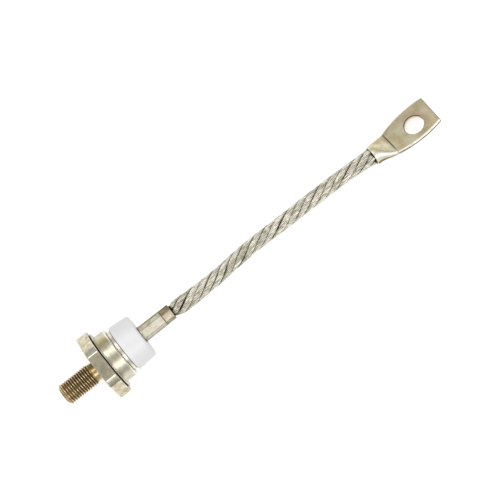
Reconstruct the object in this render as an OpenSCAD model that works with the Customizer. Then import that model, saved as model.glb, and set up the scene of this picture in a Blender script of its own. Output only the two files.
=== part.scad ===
// Stud-mounted power rectifier diode with a ceramic housing, a stranded lead and a cable lug.
// X runs along the stud and the lead, with X = 0 on the seating face of the hexagon, and Z is up.
// The part lies on one flat of its hexagon and on the low edge of the lug's palm.

/* [Stud and hexagon] */
// Outer diameter of the stud's thread
stud_d = 9.525; // [8.5:0.025:10.5]
// Length of the stud, from the seating face to its tip
stud_l = 17.5; // [13:0.5:20]
// Length of the chamfer at the stud's tip
stud_tip = 1.2; // [0.5:0.1:1.8]
// Diameter of the flat end of the stud, inside the chamfer
stud_tip_d = 6.2; // [5:0.1:8]
// Depth of the plain neck behind the thread, below the thread's outer surface
neck_depth = 0.95; // [0.6:0.05:1.2]
// Length of the plain neck behind the thread
neck_l = 3.2; // [2:0.1:5]
// Width of the hexagon across its flats
hex_flats = 27; // [26:0.1:30]
// How far the hexagon's turned corners stand out past its flats
hex_corner = 1.2; // [0.9:0.05:1.8]
// Thickness of the hexagon
hex_h = 5.2; // [4:0.1:8]
// Chamfer of the hexagon's turned edges
hex_edge = 0.4; // [0.1:0.1:0.9]
// How far the pedestal stands out past the wafer's lower disc
pedestal_rim = 1.3; // [0.2:0.1:1.9]
// Height of the pedestal above the hexagon
pedestal_h = 2.3; // [1.6:0.1:2.8]

/* [Cap] */
// Height of the weld ring, which shows as a groove above the hexagon
ring_h = 0.45; // [0.3:0.05:0.8]
// How far the weld ring stays inside the edge of the cap's flange
ring_inset = 0.55; // [0.2:0.05:1]
// How far the cap's flange stands out past its wall
flange_w = 2.05; // [1.4:0.05:2.4]
// Thickness of the cap's flange at its rim
flange_t = 0.4; // [0.3:0.05:0.8]
// Height of the cap, flange included
cap_h = 5.65; // [5.2:0.05:7.5]
// Outer diameter of the cap's wall
cap_d = 22; // [21:0.1:23]
// Wall thickness of the cap
cap_wall = 0.8; // [0.5:0.05:1]
// Outer radius of the cap's shoulder
cap_r = 0.7; // [0.3:0.05:0.8]

/* [Seal and insulator] */
// How far the seal sleeve stands back from the cap's wall
sleeve_step = 1.75; // [1.4:0.05:2.2]
// Wall thickness of the seal sleeve
sleeve_wall = 0.7; // [0.4:0.05:0.9]
// Length of sleeve that shows between the cap and the insulator
sleeve_gap = 1.6; // [1:0.05:2.4]
// How far the insulator's foot stands out past the seal sleeve
ceramic_rim = 1.05; // [0.5:0.05:1.5]
// How far the insulator's side leans in from foot to top
ceramic_lean = 0.6; // [0.2:0.05:1]
// Height of the insulator
ceramic_h = 9.1; // [8:0.05:12]
// Radius of the insulator's rounded edges
ceramic_r = 0.8; // [0.3:0.05:0.9]
// Wall thickness of the insulator at its foot
ceramic_wall = 3.8; // [2.8:0.1:4.6]
// Thickness of the insulator's top
ceramic_top_t = 2.5; // [1.5:0.1:3.5]

/* [Crimp tube] */
// Outer diameter of the tube where it isn't crimped
tube_d = 7.1; // [6.6:0.05:7.4]
// Length of tube that stands out of the insulator
tube_out = 15.2; // [12:0.1:20]
// Length of the round neck that shows above the insulator
tube_neck = 0.5; // [0.2:0.1:1]
// Length of the first crimp, on the inner lead
crimp_l = 10.2; // [6:0.1:11]
// Depth of the first crimp's flats, below the tube's round surface
crimp_depth = 0.5; // [0.35:0.05:0.7]
// Depth of the second crimp's flats, below the tube's round surface
grip_depth = 0.6; // [0.35:0.05:0.7]
// Depth of the crimps' rounded corners, below the tube's round surface
corner_depth = 0.1; // [0.05:0.05:0.2]
// Turn of the first crimp's flats about the tube's axis, in degrees
crimp_turn = 5.5; // [0:0.5:30]
// Turn of the second crimp's flats about the tube's axis, in degrees
grip_turn = 12; // [0:0.5:30]
// Bore of the tube
tube_bore = 4.8; // [4.2:0.05:4.9]
// Width of the tube's foot, under the insulator's top
tube_foot = 1.6; // [1:0.1:1.9]
// Thickness of the tube's foot
tube_foot_t = 0.7; // [0.4:0.1:1.2]

/* [Wafer stack] */
// Thickness of each solder layer
solder_t = 0.15; // [0.1:0.05:0.25]
// How far the lower disc stands out past the wafer
disc_rim = 0.5; // [0.3:0.05:0.7]
// Thickness of each disc
disc_t = 1; // [0.6:0.1:1.2]
// Diameter of the silicon wafer
wafer_d = 14; // [12:0.1:15]
// Thickness of the silicon wafer
wafer_t = 0.35; // [0.25:0.05:0.5]
// How far the upper disc stays inside the wafer's edge
upper_inset = 1.5; // [1:0.1:2]
// Thickness of the coating over the wafer's edge
coat_t = 0.5; // [0.3:0.05:0.55]
// Wall thickness of the contact cup
cup_wall = 1.7; // [1:0.1:2]
// Height of the contact cup
cup_h = 3.8; // [2.5:0.1:4.5]
// Floor thickness of the contact cup
cup_floor = 0.8; // [0.5:0.1:1.5]

/* [Lead and lug] */
// Diameter of the stranded lead
lead_d = 6.2; // [5.6:0.1:6.3]
// Diameter to which the outer lead swells before it enters the lug's barrel
swell_d = 7.1; // [6.4:0.1:7.6]
// Wall thickness of the lug's barrel
barrel_wall = 0.65; // [0.5:0.05:1.1]
// Length of the round barrel
barrel_l = 2.2; // [1.6:0.1:3]
// Length of barrel and shoulder, up to the crease where the palm starts
shoulder_l = 9.1; // [7:0.1:12]
// Depth to which the lead stands in the barrel
socket_l = 2.4; // [1.5:0.1:2.5]
// Greatest width of the palm
palm_w = 15.5; // [13.4:0.1:16]
// Radius of the palm's bowed sides
palm_bow_r = 46; // [36:1:80]
// Distance from the crease to the palm's greatest width
palm_bow_x = 13.2; // [11:0.1:15]
// Length of the palm from the crease to its end, along its middle
palm_l = 21.6; // [18:0.1:24]
// Angle by which the palm's end is cut out of square, in degrees
palm_skew = 2; // [0:0.5:4]
// Thickness of the palm
palm_t = 1.9; // [1.6:0.1:2.6]
// Height of the shoulder's step above the palm at the crease
crease_step = 0.4; // [0.1:0.1:0.8]
// Diameter of the lug's hole
hole_d = 8.5; // [6.4:0.1:8.8]
// Distance from the crease to the hole
hole_x = 12.2; // [10.5:0.1:13]
// Distance of the hole from the middle of the palm, to the side that lies high
hole_aside = 0.75; // [0:0.05:1.2]
// How far the middle of the palm stands back from the barrel's axis at the crease
palm_drop = 1.1; // [0:0.1:1.5]
// Rise of the palm from the crease to its end, in degrees
palm_pitch = 7.5; // [0:0.5:9]
// Roll of the palm about the lead's axis, in degrees
palm_roll = 34.5; // [30:0.1:45]

/* [Hidden] */
$fn = 96;
// Clearance between round pieces that fit into each other, on each side
fit = 0.05;
// Roundness of the polygons that stand for the lead and the lug's shoulder
lead_sides = 12;
loft_sides = 36;
loft_steps = 8;

// Where each piece starts along X
x_ring = hex_h;
x_cap = x_ring + ring_h;
x_lip = x_cap + cap_h;
x_ceramic = x_lip + sleeve_gap;
x_ceramic_top = x_ceramic + ceramic_h;
x_foot = x_ceramic_top - ceramic_top_t - tube_foot_t;
x_crimp = x_ceramic_top + tube_neck;
x_crimp_end = x_crimp + crimp_l;
x_mouth = x_ceramic_top + tube_out;
x_base_solder = hex_h + pedestal_h;
x_lower_disc = x_base_solder + solder_t;
x_wafer = x_lower_disc + disc_t;
x_upper_disc = x_wafer + wafer_t;
x_cup_solder = x_upper_disc + disc_t;
x_cup = x_cup_solder + solder_t;

// Round sizes that follow from the driving ones
neck_d = stud_d - 2 * neck_depth;
hex_round = hex_flats + 2 * hex_corner;
flange_d = cap_d + 2 * flange_w;
cap_bore = cap_d - 2 * cap_wall;
sleeve_d = cap_d - 2 * sleeve_step;
ceramic_d = sleeve_d + 2 * ceramic_rim;
ceramic_top_d = ceramic_d - 2 * ceramic_lean;
cavity_d = ceramic_d - 2 * ceramic_wall;
ceramic_hole = tube_d + 2 * fit;
crimp_flats = tube_d - 2 * crimp_depth;
grip_flats = tube_d - 2 * grip_depth;
crimp_round = tube_d - 2 * corner_depth;
disc_d = wafer_d + 2 * disc_rim;
pedestal_d = disc_d + 2 * pedestal_rim;
upper_d = wafer_d - 2 * upper_inset;
inner_d = tube_bore - 2 * fit;
cup_d = inner_d + 2 * cup_wall;
barrel_d = swell_d + 2 * fit + 2 * barrel_wall;
// How far the solder stays inside the edge of the lower disc
solder_inset = 0.2;
// Run of the slope between the cap's flange and its wall
foot_run = 0.3;
// Half the palm's width at the crease, where the bowed sides start
crease_w = palm_w / 2 - palm_bow_r + sqrt(palm_bow_r * palm_bow_r - palm_bow_x * palm_bow_x);
// How far the shoulder's end and the palm's root stay inside the palm's sides
shoulder_inset = 0.1;
root_inset = 0.6;
// Powers of the superellipse that turns the round barrel into a flat slab
round_power = 2;
slab_power = 5;

// The lead's route, from the mouth of the crimp tube to the mouth of the lug's barrel. X counts from
// the tube's mouth. The lead droops from the tube until the lug's palm rests on its low edge.
route = [
    [1.2, -0.1, 0], [6.6, -0.5, 0], [12.6, -0.6, -0.1], [18.6, -0.5, -0.2], [24.6, -0.4, -0.4],
    [30.6, 0.1, -0.6], [36.6, 0.4, -0.8], [42.6, 0.6, -1.1], [48.6, 0.5, -1.5], [54.6, 0.4, -1.8],
    [60.6, 0.3, -2.3], [66.6, 0.3, -2.8], [72.6, 0.2, -3.3], [78.6, 0.1, -3.9], [84.6, 0, -4.5],
    [90.6, -0.3, -5.1], [96.6, -0.65, -5.65], [101.3, -1.05, -6.15]];
// Direction in which the lug points: down, and to the side, in degrees
lug_droop = 7;
lug_yaw = -1.5;

function unit(v) = v / norm(v);
function lerp(a, b, f) = a + (b - a) * f;
function along(p, i) = unit(p[min(i + 1, len(p) - 1)] - p[max(i - 1, 0)]);
function lug_direction() = [cos(lug_droop) * cos(lug_yaw), cos(lug_droop) * sin(lug_yaw), -sin(lug_droop)];
function round_ring(centre, dir, r, n) =
    let (side = unit(cross([0, 0, 1], dir)), up = cross(dir, side))
    [for (k = [0 : n - 1]) centre + r * (cos(360 * k / n) * side + sin(360 * k / n) * up)];
function squared(t, power) = sign(t) * pow(abs(t), 2 / power);
function oval_ring(x, z, half_w, half_t, power, n) =
    [for (k = [0 : n - 1]) let (a = 360 * k / n)
        [x, half_w * squared(cos(a), power), z + half_t * squared(sin(a), power)]];

// A closed skin over rings that all have the same number of points
module skin(rings) {
    n = len(rings[0]);
    last = len(rings) - 1;
    polyhedron(
        points = [for (ring = rings, p = ring) p],
        faces = concat(
            [[for (k = [0 : n - 1]) k]],
            [for (i = [0 : last - 1], k = [0 : n - 1]) [i * n + k, (i + 1) * n + k, (i + 1) * n + (k + 1) % n]],
            [for (i = [0 : last - 1], k = [0 : n - 1]) [i * n + k, (i + 1) * n + (k + 1) % n, i * n + (k + 1) % n]],
            [[for (k = [n - 1 : -1 : 0]) last * n + k]]));
}

// Turns a shape drawn along Z so that it runs along X, and moves it to x
module at_x(x) {
    translate([x, 0, 0]) rotate([0, 90, 0]) children();
}

module disc(x, d, h) {
    at_x(x) cylinder(d = d, h = h);
}

module washer(x, d, bore, h) {
    at_x(x) difference() {
        cylinder(d = d, h = h);
        translate([0, 0, -h]) cylinder(d = bore, h = 3 * h);
    }
}

// A hexagonal bar with rounded corners, with one flat towards +X before the turn
module hex_bar(flats, corners, h, turn) {
    intersection() {
        cylinder(d = corners, h = h);
        rotate(30 + turn) cylinder(r = flats / 2 / cos(30), h = h, $fn = 6);
    }
}

// Hexagon, threaded stud and pedestal, turned from one bar
module stud_base() {
    color("tan") {
        at_x(0) intersection() {
            rotate(30) cylinder(r = hex_flats / 2 / cos(30), h = hex_h, $fn = 6);
            rotate_extrude() polygon([[0, 0], [hex_round / 2 - hex_edge, 0], [hex_round / 2, hex_edge],
                [hex_round / 2, hex_h - hex_edge], [hex_round / 2 - hex_edge, hex_h], [0, hex_h]]);
        }
        disc(0, pedestal_d, hex_h + pedestal_h);
        at_x(0) rotate_extrude() polygon([[0, hex_edge], [neck_d / 2, hex_edge], [neck_d / 2, neck_depth - neck_l],
            [stud_d / 2, -neck_l], [stud_d / 2, stud_tip - stud_l],
            [stud_tip_d / 2, -stud_l], [0, -stud_l]]);
    }
}

// Steel ring brazed round the pedestal, to which the cap is welded
module weld_ring() {
    color("dimgray") washer(x_ring, flange_d - 2 * ring_inset, pedestal_d + 2 * fit, ring_h);
}

// Drawn cap: a flange with a sloping foot, the wall, a rounded shoulder and a lip turned in
module cap_shell() {
    wall_r = cap_d / 2;
    lip_r = sleeve_d / 2 + fit;
    color("gainsboro") at_x(x_cap) difference() {
        rotate_extrude() {
            polygon([[0, 0], [flange_d / 2, 0], [flange_d / 2, flange_t], [wall_r + foot_run, flange_t],
                [wall_r, flange_t + foot_run / 2], [wall_r, cap_h - cap_r], [wall_r - cap_r, cap_h], [0, cap_h]]);
            translate([wall_r - cap_r, cap_h - cap_r]) circle(r = cap_r, $fn = 48);
        }
        translate([0, 0, -cap_wall]) cylinder(d = cap_bore, h = cap_h);
        cylinder(r = lip_r, h = 2 * cap_h);
    }
}

// Thin sleeve between cap and insulator, with a foot that seats under the cap's lip
module seal_sleeve() {
    reach = cap_wall + sleeve_gap;
    color("darkkhaki") {
        washer(x_lip - cap_wall, sleeve_d, sleeve_d - 2 * sleeve_wall, reach);
        washer(x_lip - cap_wall - sleeve_wall, cap_bore - 2 * fit, sleeve_d - 2 * sleeve_wall, sleeve_wall);
    }
}

// Ceramic insulator: a tapered pot, open towards the cap, with a hole for the tube
module ceramic_insulator() {
    foot_r = ceramic_d / 2;
    top_r = ceramic_top_d / 2;
    lean = atan2(foot_r - top_r, ceramic_h);
    color("ghostwhite") at_x(x_ceramic) difference() {
        rotate_extrude() {
            difference() {
                polygon([[0, 0], [foot_r, 0], [top_r, ceramic_h], [0, ceramic_h]]);
                translate([foot_r - ceramic_r, -1]) square([ceramic_r + 1, ceramic_r + 1]);
                translate([top_r - ceramic_r, ceramic_h - ceramic_r]) square([ceramic_r + 1, ceramic_r + 1]);
            }
            translate([foot_r - ceramic_r, ceramic_r]) circle(r = ceramic_r * cos(lean), $fn = 48);
            translate([top_r - ceramic_r, ceramic_h - ceramic_r]) circle(r = ceramic_r, $fn = 48);
        }
        translate([0, 0, -1]) cylinder(d = cavity_d, h = ceramic_h - ceramic_top_t + 1);
        cylinder(d = ceramic_hole, h = ceramic_h + 1);
    }
}

// Tube that holds the inner lead in its first crimp and the outer lead in its second
module crimp_tube() {
    color("wheat") difference() {
        union() {
            disc(x_foot, tube_d + 2 * tube_foot, tube_foot_t);
            disc(x_foot, tube_d, x_crimp - x_foot);
            disc(x_foot, grip_flats, x_mouth - x_foot);
            at_x(x_crimp) hex_bar(crimp_flats, crimp_round, crimp_l, crimp_turn);
            at_x(x_crimp_end) hex_bar(grip_flats, crimp_round, x_mouth - x_crimp_end, grip_turn);
        }
        disc(x_foot - 1, tube_bore, x_mouth - x_foot + 2);
    }
}

module base_solder() {
    color("silver") disc(x_base_solder, disc_d - 2 * solder_inset, solder_t);
}

module lower_disc() {
    color("slategray") disc(x_lower_disc, disc_d, disc_t);
}

module silicon_wafer() {
    color("darkslateblue") disc(x_wafer, wafer_d, wafer_t);
}

// Soft coating that closes the wafer's bare edge, on the rim of the lower disc
module edge_coating() {
    color("white") washer(x_wafer, disc_d, wafer_d + 2 * fit, wafer_t + coat_t);
}

module upper_disc() {
    color("slategray") disc(x_upper_disc, upper_d, disc_t);
}

module cup_solder() {
    color("silver") disc(x_cup_solder, cup_d, solder_t);
}

// Cup that joins the inner lead to the wafer stack
module contact_cup() {
    color("peru") at_x(x_cup) difference() {
        cylinder(d = cup_d, h = cup_h);
        translate([0, 0, cup_floor]) cylinder(d = inner_d + 2 * fit, h = cup_h);
    }
}

// Short stranded lead inside the housing, from the cup into the first crimp
module inner_lead() {
    start = x_cup + cup_floor;
    color("sandybrown") disc(start, inner_d, x_crimp_end - start);
}

// The outer lead: gripped in the second crimp, swelling out of its mouth, and ending in the lug
module lead_rope() {
    gripped_r = tube_bore / 2 - fit;
    points = [for (p = route) [x_mouth, 0, 0] + p];
    last = len(points) - 1;
    color("darkgray") skin(concat(
        [round_ring([x_crimp_end, 0, 0], [1, 0, 0], gripped_r, lead_sides),
         round_ring([x_mouth, 0, 0], [1, 0, 0], gripped_r, lead_sides)],
        [for (i = [0 : last - 1]) round_ring(points[i], along(points, i), lead_d / 2, lead_sides)],
        [for (depth = [0, socket_l])
            round_ring(points[last] + depth * lug_direction(), lug_direction(), swell_d / 2, lead_sides)]));
}

// Outline of the palm: two bowed sides, an end that is nearly square, and a root inside the shoulder
module palm_outline() {
    bow_y = palm_bow_r - palm_w / 2;
    root_w = crease_w - root_inset;
    end_run = palm_w * tan(palm_skew);
    intersection() {
        polygon([[0, -palm_w], [palm_l - end_run, -palm_w], [palm_l + end_run, palm_w], [0, palm_w]]);
        translate([palm_bow_x, bow_y]) circle(r = palm_bow_r, $fn = 360);
        translate([palm_bow_x, -bow_y]) circle(r = palm_bow_r, $fn = 360);
    }
    translate([-1, -root_w]) square([2, 2 * root_w]);
}

// Moves what is drawn on the palm's middle plane, from the crease on, to its place in the lug
module palm_place() {
    translate([shoulder_l, 0, -palm_drop]) rotate([0, -palm_pitch, 0]) children();
}

// Cable lug pressed from a length of tube: round at its mouth, and flat where it is bolted
module cable_lug() {
    barrel_r = barrel_d / 2;
    loft_l = shoulder_l - barrel_l;
    end = [x_mouth, 0, 0] + route[len(route) - 1];
    color("darkkhaki") translate(end) rotate([-palm_roll, lug_droop, lug_yaw]) difference() {
        union() {
            skin(concat([oval_ring(0, 0, barrel_r, barrel_r, round_power, loft_sides)],
                [for (i = [0 : loft_steps]) let (f = i / loft_steps, s = f * f * (3 - 2 * f))
                    oval_ring(barrel_l + f * loft_l, -palm_drop * s, lerp(barrel_r, crease_w - shoulder_inset, s),
                        lerp(barrel_r, palm_t / 2 + crease_step, f), lerp(round_power, slab_power, s),
                        loft_sides)]));
            palm_place() translate([0, 0, -palm_t / 2]) linear_extrude(palm_t) palm_outline();
        }
        at_x(-1) cylinder(d = swell_d + 2 * fit, h = socket_l + 1);
        palm_place() translate([hole_x, -hole_aside, -palm_t]) cylinder(d = hole_d, h = 2 * palm_t);
    }
}

stud_base();
weld_ring();
base_solder();
lower_disc();
silicon_wafer();
edge_coating();
upper_disc();
cup_solder();
contact_cup();
inner_lead();
cap_shell();
seal_sleeve();
ceramic_insulator();
crimp_tube();
lead_rope();
cable_lug();
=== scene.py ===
"""Looks of a stud-mounted rectifier diode with a rope lead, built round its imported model."""

from bisect import bisect_left
from math import (acos, atan2, copysign, cos, degrees, exp, hypot, pi, radians, remainder, sin,
                  sqrt, tan, tau)

import bmesh
import bpy
from bpy.props import FloatProperty, FloatVectorProperty, IntProperty, PointerProperty
from bpy.types import Operator, Panel, PropertyGroup
from mathutils import Matrix, Vector, noise


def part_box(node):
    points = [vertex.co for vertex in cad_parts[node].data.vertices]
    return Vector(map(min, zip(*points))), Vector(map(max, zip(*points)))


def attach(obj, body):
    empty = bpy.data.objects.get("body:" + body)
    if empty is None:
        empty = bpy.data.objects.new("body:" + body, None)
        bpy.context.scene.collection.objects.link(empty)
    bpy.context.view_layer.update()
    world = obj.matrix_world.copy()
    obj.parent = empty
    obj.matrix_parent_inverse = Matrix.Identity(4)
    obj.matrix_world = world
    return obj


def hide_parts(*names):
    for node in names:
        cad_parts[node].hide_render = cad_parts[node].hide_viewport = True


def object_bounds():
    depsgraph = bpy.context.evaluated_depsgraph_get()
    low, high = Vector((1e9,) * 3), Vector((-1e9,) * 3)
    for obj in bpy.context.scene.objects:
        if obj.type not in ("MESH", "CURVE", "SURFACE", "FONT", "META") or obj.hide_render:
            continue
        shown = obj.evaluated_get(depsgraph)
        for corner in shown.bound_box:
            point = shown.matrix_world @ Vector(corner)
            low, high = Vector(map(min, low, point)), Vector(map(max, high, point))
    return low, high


bl_info = {
    "name": "Stud diode",
    "version": (1, 0, 0),
    "blender": (4, 5, 0),
    "location": "3D View > Sidebar > Diode",
    "description": "Builds the pieces, finishes and stage of a stud diode with a rope lead",
    "category": "Object",
}

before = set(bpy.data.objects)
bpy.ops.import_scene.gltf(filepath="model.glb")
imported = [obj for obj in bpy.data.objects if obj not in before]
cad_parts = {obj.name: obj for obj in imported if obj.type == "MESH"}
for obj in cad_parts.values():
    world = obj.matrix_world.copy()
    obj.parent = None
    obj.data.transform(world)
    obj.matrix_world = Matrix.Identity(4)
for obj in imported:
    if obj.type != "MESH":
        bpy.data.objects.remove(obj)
CAD_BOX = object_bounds()
MM = 0.001
BODY = "root"
SIXTH = pi / 3

# What a mesh carries at its points: how far it is polished and lit by painted highlights, how
# far it is dirty and darkened by painted shade, and its tone, which on the crimp tube's flats is
# painted shade and round the cap a painted reflection
MARKS = ("wear_and_highlight", "dirt_and_shade", "tone")

# Range that holds most values of a noise texture
MOST = (0.3, 0.7)

# The lead's route from the crimp tube's mouth to the lug's mouth, as in the part's source.
# X counts from the tube's mouth, and all three are in millimetres.
ROUTE = (
    (1.2, -0.1, 0), (6.6, -0.5, 0), (12.6, -0.6, -0.1), (18.6, -0.5, -0.2), (24.6, -0.4, -0.4),
    (30.6, 0.1, -0.6), (36.6, 0.4, -0.8), (42.6, 0.6, -1.1), (48.6, 0.5, -1.5), (54.6, 0.4, -1.8),
    (60.6, 0.3, -2.3), (66.6, 0.3, -2.8), (72.6, 0.2, -3.3), (78.6, 0.1, -3.9), (84.6, 0, -4.5),
    (90.6, -0.3, -5.1), (96.6, -0.65, -5.65), (101.3, -1.05, -6.15),
)

# Place along the lead and radius of the rope, in millimetres from the tube's mouth on: gripped,
# swollen, drawn tight, and swollen again before the lug
ROPE_RADII = ((-2, 2.35), (0.3, 2.35), (1.6, 3.08), (5, 3.45), (10, 3.33), (16, 3.18), (30, 3.08),
              (43, 3.07), (63, 3.11), (95, 3.12), (98, 3.3), (100.8, 3.5), (104, 3.5))


def low(name):
    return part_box(name)[0]


def high(name):
    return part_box(name)[1]


def linear(colour):
    """Linear colour of a screen colour that is given from 0 to 255."""
    shares = [value / 255 for value in colour]
    return tuple(s / 12.92 if s <= 0.04045 else ((s + 0.055) / 1.055) ** 2.4 for s in shares)


def size(label, default, about):
    """A length that a user can change, given in millimetres."""
    return FloatProperty(
        name=label, description=about, default=default * MM, unit="LENGTH", precision=5)


def turn(label, default, about):
    """An angle that a user can change, given in degrees."""
    return FloatProperty(
        name=label, description=about, default=radians(default), subtype="ANGLE")


def level(label, default, about):
    """A number from 0 on that a user can change."""
    return FloatProperty(name=label, description=about, default=default, min=0)


def whole(label, default, least, about):
    """A whole number that a user can change."""
    return IntProperty(name=label, description=about, default=default, min=least)


def tint(label, default, about):
    """A colour that a user can change, given as on a screen, from 0 to 255."""
    return FloatVectorProperty(name=label, description=about, default=linear(default),
                               subtype="COLOR", size=3, min=0, max=1)


class BaseSizes(PropertyGroup):
    """Sizes of the hexagon and its threaded stud."""

    pitch: size("Pitch", 1.0583, "Distance from one thread crest to the next")
    depth: size("Thread depth", 0.64, "Depth of the thread below its crests")
    stud_r: size("Stud radius", 4.7625, "Radius over the thread's crests")
    tip_r: size("Tip radius", 3.1, "Radius of the stud's end face")
    tip_l: size("Tip length", 1.2, "Length of the chamfer at the stud's end")
    neck_l: size("Neck length", 3.2, "Length without thread below the hexagon")
    neck_top_r: size("Neck radius at the thread", 4.1, "Radius where the thread runs out")
    neck_r: size("Neck radius at the seat", 3.75, "Radius where the neck meets the hexagon")
    corner_r: size("Hexagon corner radius", 14.7, "Radius to which the corners are turned")
    edge: size("Edge rounding", 0.2, "Rounding of the hexagon's edges")
    corner_chamfer: size("Corner chamfer", 0.4, "Chamfer of the hexagon's turned corners")
    pedestal_r: size("Pedestal radius", 8.8, "Radius of the pedestal inside the cap")


class HousingSizes(PropertyGroup):
    """Sizes of the weld ring, cap, sleeve and insulator."""

    ring_r: size("Weld ring radius", 12.5, "Outer radius of the weld ring")
    flange_t: size("Flange thickness", 0.4, "Thickness of the cap's flange")
    wall_r: size("Cap radius", 11, "Outer radius of the cap's wall")
    wall_t: size("Cap wall", 0.8, "Thickness of the cap's wall")
    shoulder: size("Cap shoulder", 0.7, "Rounding between the cap's wall and its lip")
    foot_run: size("Foot run", 0.2, "Run of the slope between the flange and the wall")
    sleeve_r: size("Sleeve radius", 9.25, "Outer radius of the seal sleeve")
    sleeve_t: size("Sleeve wall", 0.7, "Thickness of the seal sleeve")
    insulator_top_r: size("Insulator top radius", 9.7, "Radius of the insulator at its top")
    insulator_rim: size("Insulator rim", 1, "Rounding of the insulator's top edge")
    cavity_r: size("Insulator cavity radius", 6.5, "Radius of the insulator's hollow")
    cavity_top: size("Insulator top thickness", 2.5, "Thickness of the insulator's top")


class TubeSizes(PropertyGroup):
    """Sizes of the crimp tube."""

    radius: size("Tube radius", 3.55, "Radius of the tube before it is crimped")
    bore_r: size("Bore radius", 2.4, "Radius of the tube's bore")
    neck: size("Neck", 0.5, "Round length above the insulator")
    crimp_l: size("Crimp length", 10.2, "Length of the first crimp")
    crimp_flat: size("Crimp flat", 3.05, "Distance from the axis to a flat of the first crimp")
    grip_flat: size("Grip flat", 2.95, "Distance from the axis to a flat of the second crimp")
    corner_r: size("Crimp corner radius", 3.45, "Radius over the crimps' corners")
    crimp_turn: turn("Crimp turn", 5.5, "Turn of the first crimp's flats")
    grip_turn: turn("Grip turn", 12, "Turn of the second crimp's flats")
    step_l: size("Step length", 0.3, "Length over which one section turns into the next")


class RopeSizes(PropertyGroup):
    """Sizes of the rope lead."""

    radius: size("Rope radius", 3.1, "Radius of the rope over its strands")
    lay: size("Lay", 33, "Length in which a strand goes once round the rope")
    wire_lay: size("Wire lay", 14, "Length in which a wire goes once round its strand")
    strands: whole("Strands", 6, 3, "Strands round the core")
    wires: whole("Wires", 13, 6, "Wires round a strand")
    sides: whole("Sides", 6, 3, "Points across one wire")
    ring_gap: size("Ring gap", 0.62, "Distance between the rings of a strand's mesh")


class LugSizes(PropertyGroup):
    """Sizes of the cable lug."""

    barrel_r: size("Barrel radius", 4.25, "Outer radius of the barrel")
    bore_r: size("Bore radius", 3.6, "Radius of the barrel's bore")
    bore_l: size("Bore depth", 2.4, "Depth of the barrel's bore")
    barrel_l: size("Barrel length", 2.2, "Length of the round barrel")
    shoulder_l: size("Shoulder end", 9.1, "Distance from the mouth to the crease")
    palm_l: size("Palm length", 21.6, "Length of the palm from the crease, along its middle")
    palm_half_w: size("Half palm width", 7.75, "Half the palm's greatest width")
    bow_r: size("Bow radius", 46, "Radius of the palm's bowed sides")
    bow_x: size("Bow place", 13.2, "Distance from the crease to the widest place")
    half_t: size("Half palm thickness", 0.95, "Half the thickness of the palm")
    crease: size("Crease step", 0.4, "Height of the step at the crease")
    hole_r: size("Hole radius", 4.25, "Radius of the bolt hole")
    hole_x: size("Hole place", 12.2, "Distance from the crease to the hole's centre")
    hole_aside: size("Hole aside", 0.75, "Distance of the hole from the palm's middle line")
    palm_drop: size("Palm drop", 1.1, "How far the palm stands back from the barrel's axis")
    pitch: turn("Palm pitch", 7.5, "Rise of the palm from the crease to its end")
    skew: turn("End skew", 2, "Angle by which the palm's end is cut out of square")
    edge: size("Edge rounding", 0.15, "Rounding of the edges of the mouth and the palm's end")
    hole_edge: size("Hole edge rounding", 0.2, "Rounding of the hole's edges")
    seam: size("Seam depth", 0.16, "Depth of the seam between the two pressed walls")
    roll: turn("Roll", -34.5, "Turn of the palm round the lug's axis")
    droop: turn("Droop", 7, "Angle by which the lug points down")
    yaw: turn("Yaw", -1.5, "Angle by which the lug points to the side")


class StageSizes(PropertyGroup):
    """Camera, lamps and floor."""

    height: size("Camera height", 1000, "Height of the camera above the diode's axis")
    middle_x: size("View middle along", 76.8, "Place along the diode below the camera")
    middle_y: size("View middle across", -0.2, "Place across the diode below the camera")
    span: size("View width", 199.3, "Width that the view takes in at the diode's axis")
    roll: turn("Camera roll", -38.3, "Turn of the camera about the line of sight")
    lamp_distance: size("Lamp distance", 700, "Distance of each soft lamp from the diode")
    lamp_w: size("Lamp width", 340, "Width of each soft lamp across the diode")
    lamp_l: size("Lamp length", 900, "Length of each soft lamp along the diode")
    lean_left: turn("Left lamp's lean", -36, "Angle from straight above to the left lamp")
    lean_right: turn("Right lamp's lean", 30, "Angle from straight above to the right lamp")
    lamp_power: level("Lamp power", 1.7, "Power of each soft lamp in watts")
    sky: level("Ambient level", 0.55, "Strength of the even light from all round")
    floor_r: size("Floor reach", 6000, "Half the side of the floor")


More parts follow.
